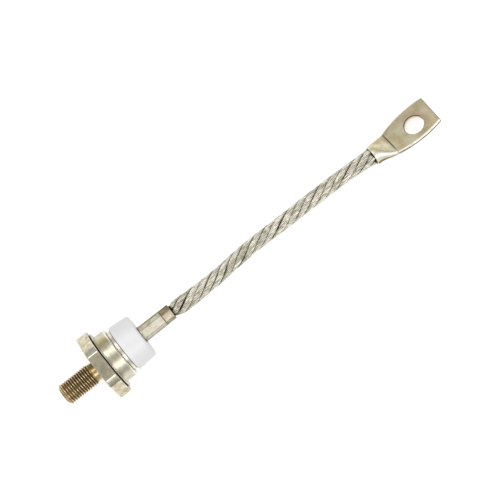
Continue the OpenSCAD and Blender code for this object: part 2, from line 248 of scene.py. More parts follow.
class Finishes(PropertyGroup):
    """Colours of the diode's finishes."""

    plating: tint("Plating", (219, 211, 188), "Nickel plating on the hexagon")
    plating_shade: tint("Plating shade", (176, 166, 136), "Darker patches in the plating")
    # Also painted highlights on the hexagon's turned corners and a partly painted sheen on the
    # wires' crowns
    bright: tint("Bright edge", (240, 236, 222), "Plating polished by handling")
    stain: tint("Stain", (150, 126, 88), "Brown stain of the plating")
    # Also painted shade in corners of the hexagon, cap and sleeve, on the crimp tube and in its
    # bore, and between the rope's strands
    grime_and_shade: tint("Grime", (44, 36, 24), "Dark dirt in grooves")
    stud: tint("Stud", (216, 190, 120), "Bronze look of the thread")
    stud_shade: tint("Stud shade", (158, 108, 62), "Red-brown tarnish of the thread")
    # Also the painted highlight on the neck
    stud_edge: tint("Thread crest", (250, 234, 194), "Rubbed crests of the thread")
    # Also painted shade on the stud's +Y side and neck, and in the lug's crease, hole and bore and
    # on its shoulder and side edge
    brown_dirt_and_shade: tint("Brown dirt", (74, 46, 10), "Brown dirt in the thread and in the lug's crease")
    # Painted shade: the darkest colour, in the weld groove
    weld_groove_shade: tint("Soot", (26, 18, 10), "Darkest dirt, in the weld groove")
    cap: tint("Cap", (214, 210, 193), "Bright plating of the drawn cap")
    cap_shade: tint("Cap shade", (188, 180, 154), "Darker patches of the cap's plating")
    # Painted reflection: an olive band on one side of the cap
    cap_reflection_tint: tint("Brassy tint", (181, 166, 92), "Brassy tint on one side of the cap")
    # Painted shade: near-black colour of the weld ring, for the groove that it fills
    weld_ring_shade: tint("Weld ring", (40, 30, 16), "Weld ring")
    ceramic: tint("Ceramic", (240, 239, 241), "Glazed ceramic")
    ceramic_dust: tint("Ceramic dust", (150, 146, 142), "Grey dust on the ceramic's inner edges")
    tube: tint("Crimp tube", (252, 248, 230), "Plating of the crimp tube")
    # Painted shade on the crimp tube's slanted flats
    tube_shade: tint("Crimp shade", (134, 120, 80), "Tarnished flats of the crimp tube")
    wire: tint("Tinned wire", (252, 248, 236), "Tinned copper wire")
    wire_dark: tint("Dull wire", (163, 157, 128), "Dull tinned copper wire")
    lug: tint("Lug", (234, 226, 198), "Plating of the cable lug")
    lug_shade: tint("Lug shade", (198, 186, 147), "Darker patches of the lug's plating")
    rust: tint("Heat tint", (176, 132, 96), "Red-brown tint round the lug's hole")
    solder: tint("Solder", (176, 178, 182), "Solder layers")
    disc: tint("Backing discs", (128, 132, 138), "Backing discs of the wafer")
    silicon: tint("Silicon", (58, 62, 82), "Silicon wafer")
    coating: tint("Coating", (232, 230, 222), "Soft coating on the wafer's edge")
    copper: tint("Copper", (196, 128, 92), "Bare copper")


class DiodeSettings(PropertyGroup):
    """All sizes and colours of the diode."""

    base: PointerProperty(type=BaseSizes)
    housing: PointerProperty(type=HousingSizes)
    tube: PointerProperty(type=TubeSizes)
    rope: PointerProperty(type=RopeSizes)
    lug: PointerProperty(type=LugSizes)
    stage: PointerProperty(type=StageSizes)
    finishes: PointerProperty(type=Finishes)


def settings():
    """The sizes and colours that the scene holds."""
    return bpy.context.scene.diode


# Numbers and outlines

def mix(first, last, share):
    return first + (last - first) * share


def smooth(share):
    """Eases from 0 to 1 as share does."""
    share = min(max(share, 0.0), 1.0)
    return share * share * (3 - 2 * share)


def ramp(value, start, end):
    """Eases from 0 to 1 as a value goes from start to end, which may be the smaller one."""
    return smooth((value - start) / (end - start))


def bell(offset, width, power=2):
    """1 where the offset is 0, and close to 0 from about twice the width on."""
    return exp(-(offset / width) ** power)


def soft_min(first, second, blend):
    """The smaller of two numbers, rounded where they are about the same."""
    share = min(max(0.5 + 0.5 * (second - first) / blend, 0.0), 1.0)
    return mix(second, first, share) - blend * share * (1 - share)


def even(first, last, count):
    """Count + 1 numbers from first to last."""
    return [mix(first, last, i / count) for i in range(count + 1)]


def around(sides):
    """Angles of points that are spread evenly round a circle."""
    return [tau * k / sides for k in range(sides)]


def quarter(radius, steps=4):
    """Rise and run of points on a quarter circle, which starts along the rise."""
    return [(radius * sin(a), radius * (1 - cos(a))) for a in even(0, pi / 2, steps)]


def filleted(corners, steps=5, guard=0.12 * MM):
    """Outline through corners (x, r, rounding), with arcs at its corners.

    A corner can carry a fourth value, its painted shade. The outside of the material lies to the
    left of the way along the outline. Each point gets its wear, 1 on outer edges, and its painted
    shade, 1 in inner corners. A guard point on each side of an arc keeps both off the faces.
    """
    outline = []
    for i, (x, r, rounding, *dirt_and_shade_level) in enumerate(corners):
        here = Vector((x, r))
        ways = [Vector(corners[j % len(corners)][:2]) - here for j in (i - 1, i + 1)]
        room = [way.length for way in ways]
        if rounding <= 0 or min(room) < 1e-9:
            outline.append((x, r, 0.0, *(dirt_and_shade_level or [0.0])))
            continue
        if dirt_and_shade_level:
            marks = 0.0, dirt_and_shade_level[0]
        else:
            marks = (1.0, 0.0) if ways[0].cross(ways[1]) > 0 else (0.0, 1.0)
        half = ways[0].angle(ways[1]) / 2
        reach = min(rounding / tan(half), 0.49 * min(room))
        for way in ways:
            way.normalize()
        centre = here + (ways[0] + ways[1]).normalized() * (reach / cos(half))
        start, end = (here + way * reach - centre for way in ways)
        swing = start.angle_signed(end)
        arc = []
        for k in range(steps + 1):
            spoke = start.copy()
            spoke.rotate(Matrix.Rotation(-swing * k / steps, 2))
            arc.append((*(centre + spoke), *marks))
        for place, way, length in zip((0, len(arc) + 1), ways, room):
            if reach + guard < 0.9 * length:
                arc.insert(place, (*(here + way * (reach + guard)), 0.0, 0.0))
        outline += arc
    return outline


def off_flat(angle, turned_by=0.0):
    """Angle to the middle of a hexagon's nearest flat, where one flat was turned from the top."""
    return abs((angle - turned_by - pi / 2 + SIXTH / 2) % SIXTH - SIXTH / 2)


def hexagon_radius(angle, flat, corner, blend, turned_by=0.0):
    """Radius at an angle of a hexagon whose corners are turned down."""
    return soft_min(flat / cos(off_flat(angle, turned_by)), corner, blend)


# Meshes

def place_new(name, data):
    """A new object in the scene."""
    made = bpy.data.objects.new(name, data)
    bpy.context.scene.collection.objects.link(made)
    return made


def turn_out(mesh, close=False):
    """Turns a mesh's faces outward. Each open ring can get a face that closes it first."""
    edit = bmesh.new()
    edit.from_mesh(mesh)
    if close:
        bmesh.ops.holes_fill(edit, edges=[e for e in edit.edges if e.is_boundary], sides=0)
    bmesh.ops.recalc_face_normals(edit, faces=edit.faces)
    edit.to_mesh(mesh)
    edit.free()


class Skin:
    """Rings of points that become a surface, with a value of each mark at each point."""

    def __init__(self, angles=()):
        self.angles = angles
        self.points = []
        self.marks = {name: [] for name in MARKS}
        self.faces = []
        self.rings = []

    def ring(self, points, wear_and_highlight=0.0, dirt_and_shade=0.0, tone=0.5):
        first = len(self.points)
        self.points.extend(points)
        for name, value in zip(MARKS, (wear_and_highlight, dirt_and_shade, tone)):
            self.marks[name].extend(value if isinstance(value, list) else [value] * len(points))
        self.rings.append(range(first, first + len(points)))

    def band(self, x, radii, wear_and_highlight=0.0, dirt_and_shade=0.0, tone=0.5):
        """A ring round the diode's axis, with one radius or one for each of the skin's angles."""
        if not isinstance(radii, list):
            radii = [radii] * len(self.angles)
        points = [(x, r * cos(a), r * sin(a)) for r, a in zip(radii, self.angles)]
        self.ring(points, wear_and_highlight, dirt_and_shade, tone)

    def join(self, loop=False):
        """Fills the space between each ring and the next, and starts a new row of rings."""
        pairs = list(zip(self.rings, self.rings[1:]))
        if loop:
            pairs.append((self.rings[-1], self.rings[0]))
        for one, two in pairs:
            for k in range(max(len(one), len(two))):
                a, b = one[k % len(one)], one[(k + 1) % len(one)]
                c, d = two[(k + 1) % len(two)], two[k % len(two)]
                self.faces.append(list(dict.fromkeys((a, b, c, d))))
        self.rings = []

    def piece(self, name, sharp=40):
        """The object, with edges that are sharp from an angle in degrees on."""
        mesh = bpy.data.meshes.new(name)
        mesh.from_pydata(self.points, [], self.faces)
        for label, values in self.marks.items():
            mesh.attributes.new(label, "FLOAT", "POINT").data.foreach_set("value", values)
        turn_out(mesh)
        mesh.shade_smooth()
        mesh.set_sharp_from_angle(angle=radians(sharp))
        return place_new(name, mesh)


def turned(name, corners, sides=160, tone_at=None):
    """A hollow turned piece with the closed outline that filleted() makes of its corners."""
    skin = Skin(around(sides))
    tone = [tone_at(angle) for angle in skin.angles] if tone_at else 0.5
    for x, r, wear_and_highlight, dirt_and_shade in filleted(corners):
        skin.band(x, r, wear_and_highlight, dirt_and_shade, tone)
    skin.join(loop=True)
    return skin.piece(name)


def dress(piece, material, slot, *nodes):
    """Gives a piece its finish and its body, and hides the nodes that it stands for."""
    piece.data.materials.clear()
    piece.data.materials.append(material)
    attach(piece, BODY)
    if nodes:
        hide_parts(*nodes)
    return piece


# Shader nodes

def feed(tree, made, inputs):
    """Links a node's inputs that are given as sockets, and sets the others."""
    for name, value in inputs.items():
        if isinstance(value, bpy.types.NodeSocket):
            tree.links.new(value, made.inputs[name])
        else:
            made.inputs[name].default_value = value


def node(tree, kind, inputs=None, **options):
    """Adds a node with its options and its inputs."""
    made = tree.nodes.new(kind)
    for name, value in options.items():
        setattr(made, name, value)
    feed(tree, made, inputs or {})
    return made


def maths(tree, operation, first, second=0.0, clamp=False):
    return node(tree, "ShaderNodeMath", {0: first, 1: second}, operation=operation,
                use_clamp=clamp).outputs[0]


def noise_of(tree, place, scale, detail=3.0, roughness=0.5):
    inputs = {"Vector": place, "Scale": scale, "Detail": detail, "Roughness": roughness}
    return node(tree, "ShaderNodeTexNoise", inputs).outputs[0]


def blend_colours(tree, share, first, second):
    """Socket of the second colour laid over the first by a share."""
    return node(tree, "ShaderNodeMix", {0: share, 6: first, 7: second}, data_type="RGBA").outputs[2]


def between(tree, value, low_end, high_end, low_out=0.0, high_out=1.0):
    """Socket of a value spread from one range to another, and held inside it."""
    inputs = {"Value": value, "From Min": low_end, "From Max": high_end,
              "To Min": low_out, "To Max": high_out}
    return node(tree, "ShaderNodeMapRange", inputs, clamp=True).outputs[0]


def bump(tree, height, distance):
    """Socket of the normal that follows a height, over a distance in millimetres."""
    inputs = {"Height": height, "Strength": 1.0, "Distance": distance * MM}
    return node(tree, "ShaderNodeBump", inputs).outputs[0]


def object_place(tree):
    """Socket of a point's place in its piece."""
    return node(tree, "ShaderNodeTexCoord").outputs["Object"]


def mark(tree, name):
    """Socket of a value that the mesh carries at its points."""
    return node(tree, "ShaderNodeAttribute", attribute_name=name).outputs["Fac"]


def rgba(colour):
    return (*colour, 1.0)


def group(name, inputs, outputs):
    """A new shader node group, with the sockets that its input node gives and its output node."""
    tree = bpy.data.node_groups.new(name, "ShaderNodeTree")
    for label, kind, value in inputs:
        socket = tree.interface.new_socket(label, in_out="INPUT", socket_type="NodeSocket" + kind)
        socket.default_value = value
    for label, kind in outputs:
        tree.interface.new_socket(label, in_out="OUTPUT", socket_type="NodeSocket" + kind)
    return tree, tree.nodes.new("NodeGroupInput").outputs, tree.nodes.new("NodeGroupOutput")


def make_metal_grain(name):
    """Group: patches, fine grain and turning marks of a plated surface."""
    tree, given, out = group(
        name,
        [("Patch scale", "Float", 300.0), ("Grain scale", "Float", 6000.0),
         ("Mark scale", "Float", 5000.0)],
        [("Patches", "Float"), ("Grain", "Float"), ("Marks", "Float")])
    place = object_place(tree)
    x, y, z = node(tree, "ShaderNodeSeparateXYZ", {0: place}).outputs
    across = node(tree, "ShaderNodeCombineXYZ", {1: y, 2: z}).outputs[0]
    radius = node(tree, "ShaderNodeVectorMath", {0: across}, operation="LENGTH").outputs["Value"]
    slow = 0.03
    marked = node(tree, "ShaderNodeCombineXYZ", {
        0: maths(tree, "ADD", x, radius), 1: maths(tree, "MULTIPLY", y, slow),
        2: maths(tree, "MULTIPLY", z, slow)}).outputs[0]
    feed(tree, out, {
        "Patches": noise_of(tree, place, given["Patch scale"], 4.0, 0.6),
        "Grain": noise_of(tree, place, given["Grain scale"], 2.0, 0.6),
        "Marks": noise_of(tree, marked, given["Mark scale"], 2.0)})
    return tree


def make_wear_and_painted_light(name):
    """Group: polished edges and painted highlights, and dirty recesses and painted shade.

    Both come from the marks that the mesh carries.
    """
    tree, given, out = group(
        name,
        [("Colour", "Color", (0.5, 0.5, 0.5, 1)), ("Wear and highlight colour", "Color", (1, 1, 1, 1)),
         ("Dirt and shade colour", "Color", (0, 0, 0, 1)), ("Wear", "Float", 1.0), ("Dirt", "Float", 1.0)],
        [("Colour", "Color"), ("Worn and lit", "Float"), ("Dirty and shaded", "Float")])
    uneven = between(tree, noise_of(tree, object_place(tree), 900.0), 0.3, 0.62, 0.35, 1.0)
    share = maths(tree, "MULTIPLY", mark(tree, "wear_and_highlight"), uneven)
    worn_and_lit = maths(tree, "MULTIPLY", share, given["Wear"])
    dirty_and_shaded = maths(tree, "MULTIPLY", mark(tree, "dirt_and_shade"), given["Dirt"], clamp=True)
    edged = blend_colours(tree, worn_and_lit, given["Colour"], given["Wear and highlight colour"])
    feed(tree, out, {"Colour": blend_colours(tree, dirty_and_shaded, edged, given["Dirt and shade colour"]),
                     "Worn and lit": worn_and_lit, "Dirty and shaded": dirty_and_shaded})
    return tree


def shared_group(tree, name, make, inputs):
    """Outputs of a group that several finishes share, and that is made for the first of them."""
    shared = bpy.data.node_groups.get(name) or make(name)
    return node(tree, "ShaderNodeGroup", inputs, node_tree=shared).outputs


def wear_and_painted_light(tree, colour, edge, grime_and_shade, wear_and_highlight, dirt_and_shade_level):
    """Outputs of the group that wears a colour's edges and paints highlights on it, and that
    dirties its recesses and paints shade into them.
    """
    return shared_group(tree, "Wear and painted light", make_wear_and_painted_light, {
        "Colour": colour, "Wear and highlight colour": rgba(edge), "Dirt and shade colour": rgba(grime_and_shade), "Wear": wear_and_highlight,
        "Dirt": dirt_and_shade_level})


def changed(tree, value, share, change):
    """Socket of a value to which a share of a change is added."""
    return maths(tree, "ADD", value, maths(tree, "MULTIPLY", share, change))


# Finishes

def bare_material(name):
    """A new material and its empty tree."""
    material = bpy.data.materials.new(name)
    material.use_nodes = True
    material.node_tree.nodes.clear()
    return material, material.node_tree


def principled(name):
    """A new material with its tree and its Principled shader."""
    material, tree = bare_material(name)
    shader = node(tree, "ShaderNodeBsdfPrincipled")
    node(tree, "ShaderNodeOutputMaterial", {"Surface": shader.outputs[0]})
    return material, tree, shader


def plated_metal(name, light, dark, stain=None, stains=0.35, roughness=(0.28, 0.42), marks=0.5,
                 wear_and_highlight=0.8, dirt_and_shade_level=0.9, patch_scale=300.0, edge=None, grime_and_shade=None, tone_colour=None,
                 tone_strength=0.0):
    """Plated metal with patches, stains, turning marks, polished edges and painted highlights, and
    dirty grooves and painted shade.

    Where the mesh carries a tone, the colour goes towards a second colour: tarnish on the stud
    and round the lug's hole, painted shade on the crimp tube's flats, and a painted reflection on
    the cap.
    """
    finishes = settings().finishes
    material, tree, shader = principled(name)
    grain = shared_group(tree, "Metal grain", make_metal_grain, {"Patch scale": patch_scale})
    patches = grain["Patches"]
    colour = blend_colours(tree, between(tree, patches, 0.35, 0.68), rgba(light), rgba(dark))
    if tone_colour:
        uneven = between(tree, patches, 0.3, 0.65, 0.7 * tone_strength, tone_strength)
        share = maths(tree, "MULTIPLY", mark(tree, "tone"), uneven)
        colour = blend_colours(tree, share, colour, rgba(tone_colour))
    stained = between(tree, patches, 0.56, 0.74, 0.0, stains)
    colour = blend_colours(tree, stained, colour, rgba(stain or finishes.stain))
    speckle = between(tree, grain["Grain"], *MOST, 0.9, 1.06)
    streak = between(tree, grain["Marks"], *MOST, 1 - 0.16 * marks, 1 + 0.08 * marks)
    shade = node(tree, "ShaderNodeVectorMath", {
        0: colour, "Scale": maths(tree, "MULTIPLY", speckle, streak)}, operation="SCALE").outputs[0]
    worn_and_lit = wear_and_painted_light(tree, shade, edge or finishes.bright, grime_and_shade or finishes.grime_and_shade, wear_and_highlight, dirt_and_shade_level)
    rough = changed(tree, between(tree, patches, *MOST, *roughness), worn_and_lit["Worn and lit"], -0.08)
    height = maths(tree, "ADD", maths(tree, "MULTIPLY", grain["Marks"], marks), grain["Grain"])
    feed(tree, shader, {
        "Base Color": worn_and_lit["Colour"],
        "Roughness": changed(tree, rough, worn_and_lit["Dirty and shaded"], 0.3),
        "Metallic": between(tree, worn_and_lit["Dirty and shaded"], 0.0, 1.0, 1.0, 0.35),
        "Normal": bump(tree, height, 0.02)})
    return material


def ceramic_finish():
    """Glazed ceramic: almost white, with a faint unevenness and a soft gloss."""
    finishes = settings().finishes
    material, tree, shader = principled("Glazed ceramic")
    place = object_place(tree)
    cloud = noise_of(tree, place, 220.0)
    warm = [value * share for value, share in zip(finishes.ceramic, (0.97, 0.965, 0.95))]
    clean = blend_colours(tree, between(tree, cloud, 0.35, 0.7), rgba(finishes.ceramic), rgba(warm))
    worn_and_lit = wear_and_painted_light(tree, clean, finishes.ceramic, finishes.ceramic_dust, 0.4, 0.6)
    feed(tree, shader, {
        "Base Color": worn_and_lit["Colour"],
        "Roughness": between(tree, cloud, *MOST, 0.32, 0.42),
        "IOR": 1.55,
        "Normal": bump(tree, noise_of(tree, place, 700.0, 2.0), 0.03)})
    return material


def wire_finish():
    """Tinned copper wire: each wire has its own tone.

    The gaps between strands carry painted shade.
    """
    finishes = settings().finishes
    material, tree, shader = principled("Tinned wire")
    place = object_place(tree)
    cloud = noise_of(tree, place, 700.0, 4.0, 0.65)
    tone = changed(tree, maths(tree, "MULTIPLY", mark(tree, "tone"), 0.6), cloud, 0.5)
    colour = blend_colours(tree, between(tree, tone, 0.25, 0.8), rgba(finishes.wire_dark),
                           rgba(finishes.wire))
    worn_and_lit = wear_and_painted_light(tree, colour, finishes.bright, finishes.grime_and_shade, 0.4, 1.0)
    feed(tree, shader, {
        "Base Color": worn_and_lit["Colour"],
        "Roughness": changed(tree, between(tree, cloud, *MOST, 0.38, 0.55), worn_and_lit["Dirty and shaded"], 0.3),
        "Metallic": between(tree, worn_and_lit["Dirty and shaded"], 0.0, 1.0, 1.0, 0.3),
        "Normal": bump(tree, noise_of(tree, place, 5000.0, 2.0), 0.01)})
    return material


def hidden_finish(name, colour, metallic, roughness):
    """Finish of a piece inside the housing: a cloudy colour and a fine grain."""
    material, tree, shader = principled(name)
    place = object_place(tree)
    cloud = noise_of(tree, place, 900.0, 4.0)
    deep = [0.72 * value for value in colour]
    patches = between(tree, cloud, 0.35, 0.7)
    feed(tree, shader, {
        "Base Color": blend_colours(tree, patches, rgba(colour), rgba(deep)),
        "Roughness": between(tree, cloud, *MOST, roughness, roughness + 0.12),
        "Metallic": metallic,
        "Normal": bump(tree, noise_of(tree, place, 7200.0, 2.0), 0.01)})
    return material


def floor_finish():
    """White floor that keeps the shadow: lit like paper, and white to the camera and in metal."""
    material, tree = bare_material("Floor")
    rays = node(tree, "ShaderNodeLightPath").outputs
    mirrored = maths(tree, "ADD", rays["Is Glossy Ray"], rays["Is Transmission Ray"])
    seen = maths(tree, "ADD", rays["Is Camera Ray"], mirrored, clamp=True)
    paper = node(tree, "ShaderNodeBsdfDiffuse", {"Color": (0.65, 0.65, 0.65, 1)})
    glow = node(tree, "ShaderNodeEmission", {
        "Color": (1, 1, 1, 1), "Strength": maths(tree, "MULTIPLY", seen, 0.6)})
    lit = node(tree, "ShaderNodeAddShader", {0: paper.outputs[0], 1: glow.outputs[0]})
    behind = node(tree, "ShaderNodeNewGeometry").outputs["Backfacing"]
    clear = node(tree, "ShaderNodeBsdfTransparent")
    sided = node(tree, "ShaderNodeMixShader", {0: behind, 1: lit.outputs[0], 2: clear.outputs[0]})
    node(tree, "ShaderNodeOutputMaterial", {"Surface": sided.outputs[0]})
    return material


# Stage

def make_floor(stage):
    """A wide floor at the height on which the diode lies."""
    reach, z = stage.floor_r, CAD_BOX[0].z
    corners = [(-reach, -reach, z), (reach, -reach, z), (reach, reach, z), (-reach, reach, z)]
    mesh = bpy.data.meshes.new("Floor")
    mesh.from_pydata(corners, [], [(0, 1, 2, 3)])
    floor = place_new("Floor", mesh)
    floor.data.materials.append(floor_finish())


def make_lamp(name, stage, lean):
    """A soft lamp above the diode that leans to one side of it by an angle."""
    data = bpy.data.lights.new(name, "AREA")
    data.shape = "RECTANGLE"
    data.size = stage.lamp_l
    data.size_y = stage.lamp_w
    data.energy = stage.lamp_power
    lamp = place_new(name, data)
    middle = Vector((stage.middle_x, stage.middle_y, 0))
    lamp.location = middle + stage.lamp_distance * Vector((0, sin(lean), cos(lean)))
    lamp.rotation_euler = (-lean, 0, 0)


def make_camera(stage):
    """A camera that looks straight down, turned as the photograph was taken."""
    data = bpy.data.cameras.new("Camera")
    data.sensor_width = 36
    data.lens = data.sensor_width * stage.height / stage.span
    camera = place_new("Camera", data)
    camera.location = (stage.middle_x, stage.middle_y, stage.height)
    camera.rotation_euler = (0, 0, stage.roll)
    bpy.context.scene.camera = camera


def make_world(stage):
    """Even light from all round."""
    world = bpy.data.worlds.new("Even light")
    world.use_nodes = True
    tree = world.node_tree
    tree.nodes.clear()
    sky = node(tree, "ShaderNodeBackground", {"Color": (1, 1, 1, 1), "Strength": stage.sky})
    node(tree, "ShaderNodeOutputWorld", {"Surface": sky.outputs[0]})
    bpy.context.scene.world = world


def build_stage():
    """The camera, the even light, the floor and the soft lamps."""
    stage = settings().stage
    bpy.context.scene.view_settings.view_transform = "Standard"
    make_camera(stage)
    make_world(stage)
    make_floor(stage)
    make_lamp("Lamp left", stage, stage.lean_left)
    make_lamp("Lamp right", stage, stage.lean_right)


# Rope lead

class Route:
    """The lead's centreline, smooth through its points, measured from the tube's mouth."""

    def __init__(self, direction, run_in, run_out):
        mouth = Vector((high("crimp_tube").x, 0, 0))
        posts = [mouth + Vector((-run_in, 0, 0)), mouth]
        posts += [mouth + Vector(point) * MM for point in ROUTE]
        posts.append(posts[-1] + direction * run_out)
        ends = [posts[0] * 2 - posts[1], *posts, posts[-1] * 2 - posts[-2]]
        self.points = []
        for a, b, c, d in zip(ends, ends[1:], ends[2:], ends[3:]):
            for t in even(0, 1, 12)[:-1]:
                self.points.append(0.5 * (
                    2 * b + (c - a) * t + (2 * a - 5 * b + 4 * c - d) * t ** 2
                    + (3 * b - a - 3 * c + d) * t ** 3))
        self.points.append(posts[-1])
        self.reach = [-run_in]
        for here, there in zip(self.points, self.points[1:]):
            self.reach.append(self.reach[-1] + (there - here).length)
        self.length = self.reach[-1] - run_out

    def at(self, along):
        """Place and direction at a distance from the tube's mouth."""
        i = min(max(bisect_left(self.reach, along), 1), len(self.reach) - 1)
        here, there = self.points[i - 1], self.points[i]
        share = (along - self.reach[i - 1]) / (self.reach[i] - self.reach[i - 1])
        return here.lerp(there, share), (there - here).normalized()


def lug_turn(lug):
    """The lug's own turn: rolled, then pointed down, then to the side."""
    return (Matrix.Rotation(lug.yaw, 4, "Z") @ Matrix.Rotation(lug.droop, 4, "Y")
            @ Matrix.Rotation(lug.roll, 4, "X"))


def random_at(x, y, z):
    """A number round 0 that changes smoothly from place to place."""
    return noise.noise(Vector((x, y, z)))


def rope_radius(along):
    """Radius over the strands: gripped in the tube, swollen behind it, and then nearly even."""
    place = along / MM
    for (here, r), (there, next_r) in zip(ROPE_RADII, ROPE_RADII[1:]):
        if place <= there:
            break
    wobble = 0.04 * random_at(place * 0.09, 3.7, 0) * ramp(place, 0, 12)
    return (mix(r, next_r, ramp(place, here, there)) + wobble) * MM


def wire_profile(rope, across):
    """Radius of a round wire's surface, across from -1 to 1, as a share of its strand's radius."""
    half = pi / rope.wires
    wire_r = sin(half) / (1 + sin(half))
    centre_r = 1 - wire_r
    off = across * half
    rise = max(wire_r ** 2 - (centre_r * sin(off)) ** 2, 0.0)
    return centre_r * cos(off) + sqrt(rise)


def keystone(angle, radius):
    """Point of a strand that its neighbours press into a keystone, wide on the rope's outside."""
    power, widening = 3.0, 0.34
    c, s = cos(angle), sin(angle)
    reach = (abs(c) ** power + abs(s) ** power) ** (-1 / power)
    return radius * reach * c, radius * reach * s * (1 + widening * reach * c)


def strand(skin, rope, route, index, stops):
    """One strand, laid round the rope's centreline, with its wires as ridges.

    The odd factors of the random numbers only keep wires, strands and gaps apart from each other.
    """
    core = index == rope.strands
    sides = rope.wires * rope.sides
    ridges = [wire_profile(rope, 2 * (k % rope.sides) / rope.sides - 1) for k in range(sides)]
    lowest = min(ridges)
    for along in stops:
        place, ahead = route.at(along)
        side = Vector((0, 0, 1)).cross(ahead).normalized()
        up = ahead.cross(side)
        radius = rope_radius(along)
        strand_r = radius / 3 * (0.98 if core else 1.0)
        shift = random_at(along * 60, index * 5.3, 1.5)
        lean = 0 if core else tau * (index / rope.strands - along / rope.lay) + 0.14 * shift
        ring_r = 0 if core else (radius - strand_r) * (1 + 0.02 * shift)
        out = side * cos(lean) + up * sin(lean)
        round_it = up * cos(lean) - side * sin(lean)
        run = (ahead - round_it * (tau * ring_r / rope.lay)).normalized()
        wide = run.cross(out).normalized()
        centre = place + out * ring_r
        twist = tau * along / rope.wire_lay
        to_lug = route.length - along
        # Painted shade on the rope where it goes into the tube and into the lug
        mouth_shade = max(ramp(along, 0.8 * MM, 0.45 * MM), ramp(to_lug, 0.55 * MM, 0.25 * MM))
        open_gap = mix(0.76, 0.5, ramp(min(along, to_lug), 0, 13 * MM))
        dull = mix(0.2, 0.5, ramp(along, 6 * MM, 10 * MM))
        points, wear_and_highlight, dirt_and_shade, tone = [], [], [], []
        for k, ridge in enumerate(ridges):
            wire = k // rope.sides
            outward, aside = keystone(tau * k / sides + twist, strand_r)
            points.append(centre + (out * outward + wide * aside) * ridge)
            groove = (1 - ridge) / (1 - lowest)
            gap = (index + (aside > 0)) % rope.strands
            broken = smooth(0.5 + 3.6 * random_at(along * 640, gap * 9.1, 0))
            # Painted shade in the gaps between strands, broken at random
            gap_shade = ramp(open_gap - outward / strand_r, 0, 0.08) * mix(0.05, 1.0, broken)
            # Darker grooves between wires at random places, partly painted shade
            parted = 0.42 + 1.8 * random_at(wire * 3.3 + index * 17.7, along * 330, 4.0)
            dark = max(gap_shade + mouth_shade, min(max(parted, 0.0), 1.0) * groove ** 1.3)
            # Crowns of the wires lighter: rubbed, and partly a painted sheen
            wear_and_highlight.append(1 - groove)
            dirt_and_shade.append(1.0 if core else min(1.0, dark))
            tone.append(dull + 0.8 * random_at(wire * 7.1 + index * 31.3, along * 60, 0)
                        + random_at(wire * 5.7 + index * 13.9, along * 750, 8.0))
        skin.ring(points, wear_and_highlight, dirt_and_shade, tone)


def build_rope():
    """The outer lead: strands laid round a core, from the crimp tube into the lug."""
    rope, lug = settings().rope, settings().lug
    direction = lug_turn(lug).to_3x3() @ Vector((1, 0, 0))
    run_in, run_out = 2 * MM, lug.bore_l
    route = Route(direction, run_in, run_out)
    count = round((route.length - 2 * MM) / rope.ring_gap)
    stops = [-run_in, *[along * MM for along in (0, 0.25, 0.45, 0.65, 0.85)]]
    stops += even(1.1 * MM, route.length - 0.9 * MM, count)
    stops += [route.length - gap * MM for gap in (0.6, 0.4, 0.2, 0)]
    stops.append(route.length + run_out)
    skin = Skin()
    for index in range(rope.strands + 1):
        strand(skin, rope, route, index, stops if index < rope.strands else stops[::4])
        skin.join()
    made = skin.piece("lead_rope_strands", sharp=75)
    turn_out(made.data, close=True)
    dress(made, wire_finish(), "lead_metal", "lead_rope")
    path = [route.at(along)[0] for along in even(0, route.length, 80)]


# Cable lug

def bar_ring(half_w, half_t, corner, seam=0.0, sides=180):
    """Ring at x = 0 of a bar across X: a rectangle with round corners, or a circle, with a seam."""
    points = []
    spread = 0.25
    for angle in around(sides):
        c, s = cos(angle), sin(angle)
        y = (half_w - corner) * min(max(c / spread, -1), 1) + corner * c
        z = (half_t - corner) * min(max(s / spread, -1), 1) + corner * s
        if seam and abs(c) > 0.7:
            y -= copysign(seam * bell(z + 0.3 * half_t, 0.12 * MM), c)
        points.append(Vector((0, y, z)))
    return points


def palm_half_width(lug, x):
    """Half the palm's width at a distance from the crease."""
    return lug.palm_half_w - lug.bow_r + sqrt(lug.bow_r ** 2 - (x - lug.bow_x) ** 2)


def skewed(lug, x, points):
    """A ring of the palm at x, sheared as much as the palm's end is near."""
    lean = tan(lug.skew) * (x / lug.palm_l) ** 2
    return [Vector((x + point.y * lean, point.y, point.z)) for point in points]


def palm_place(lug):
    """Moves what is made on the palm's middle plane, from the crease on, to its place."""
    return (Matrix.Translation((lug.shoulder_l, 0, -lug.palm_drop))
            @ Matrix.Rotation(-lug.pitch, 4, "Y"))


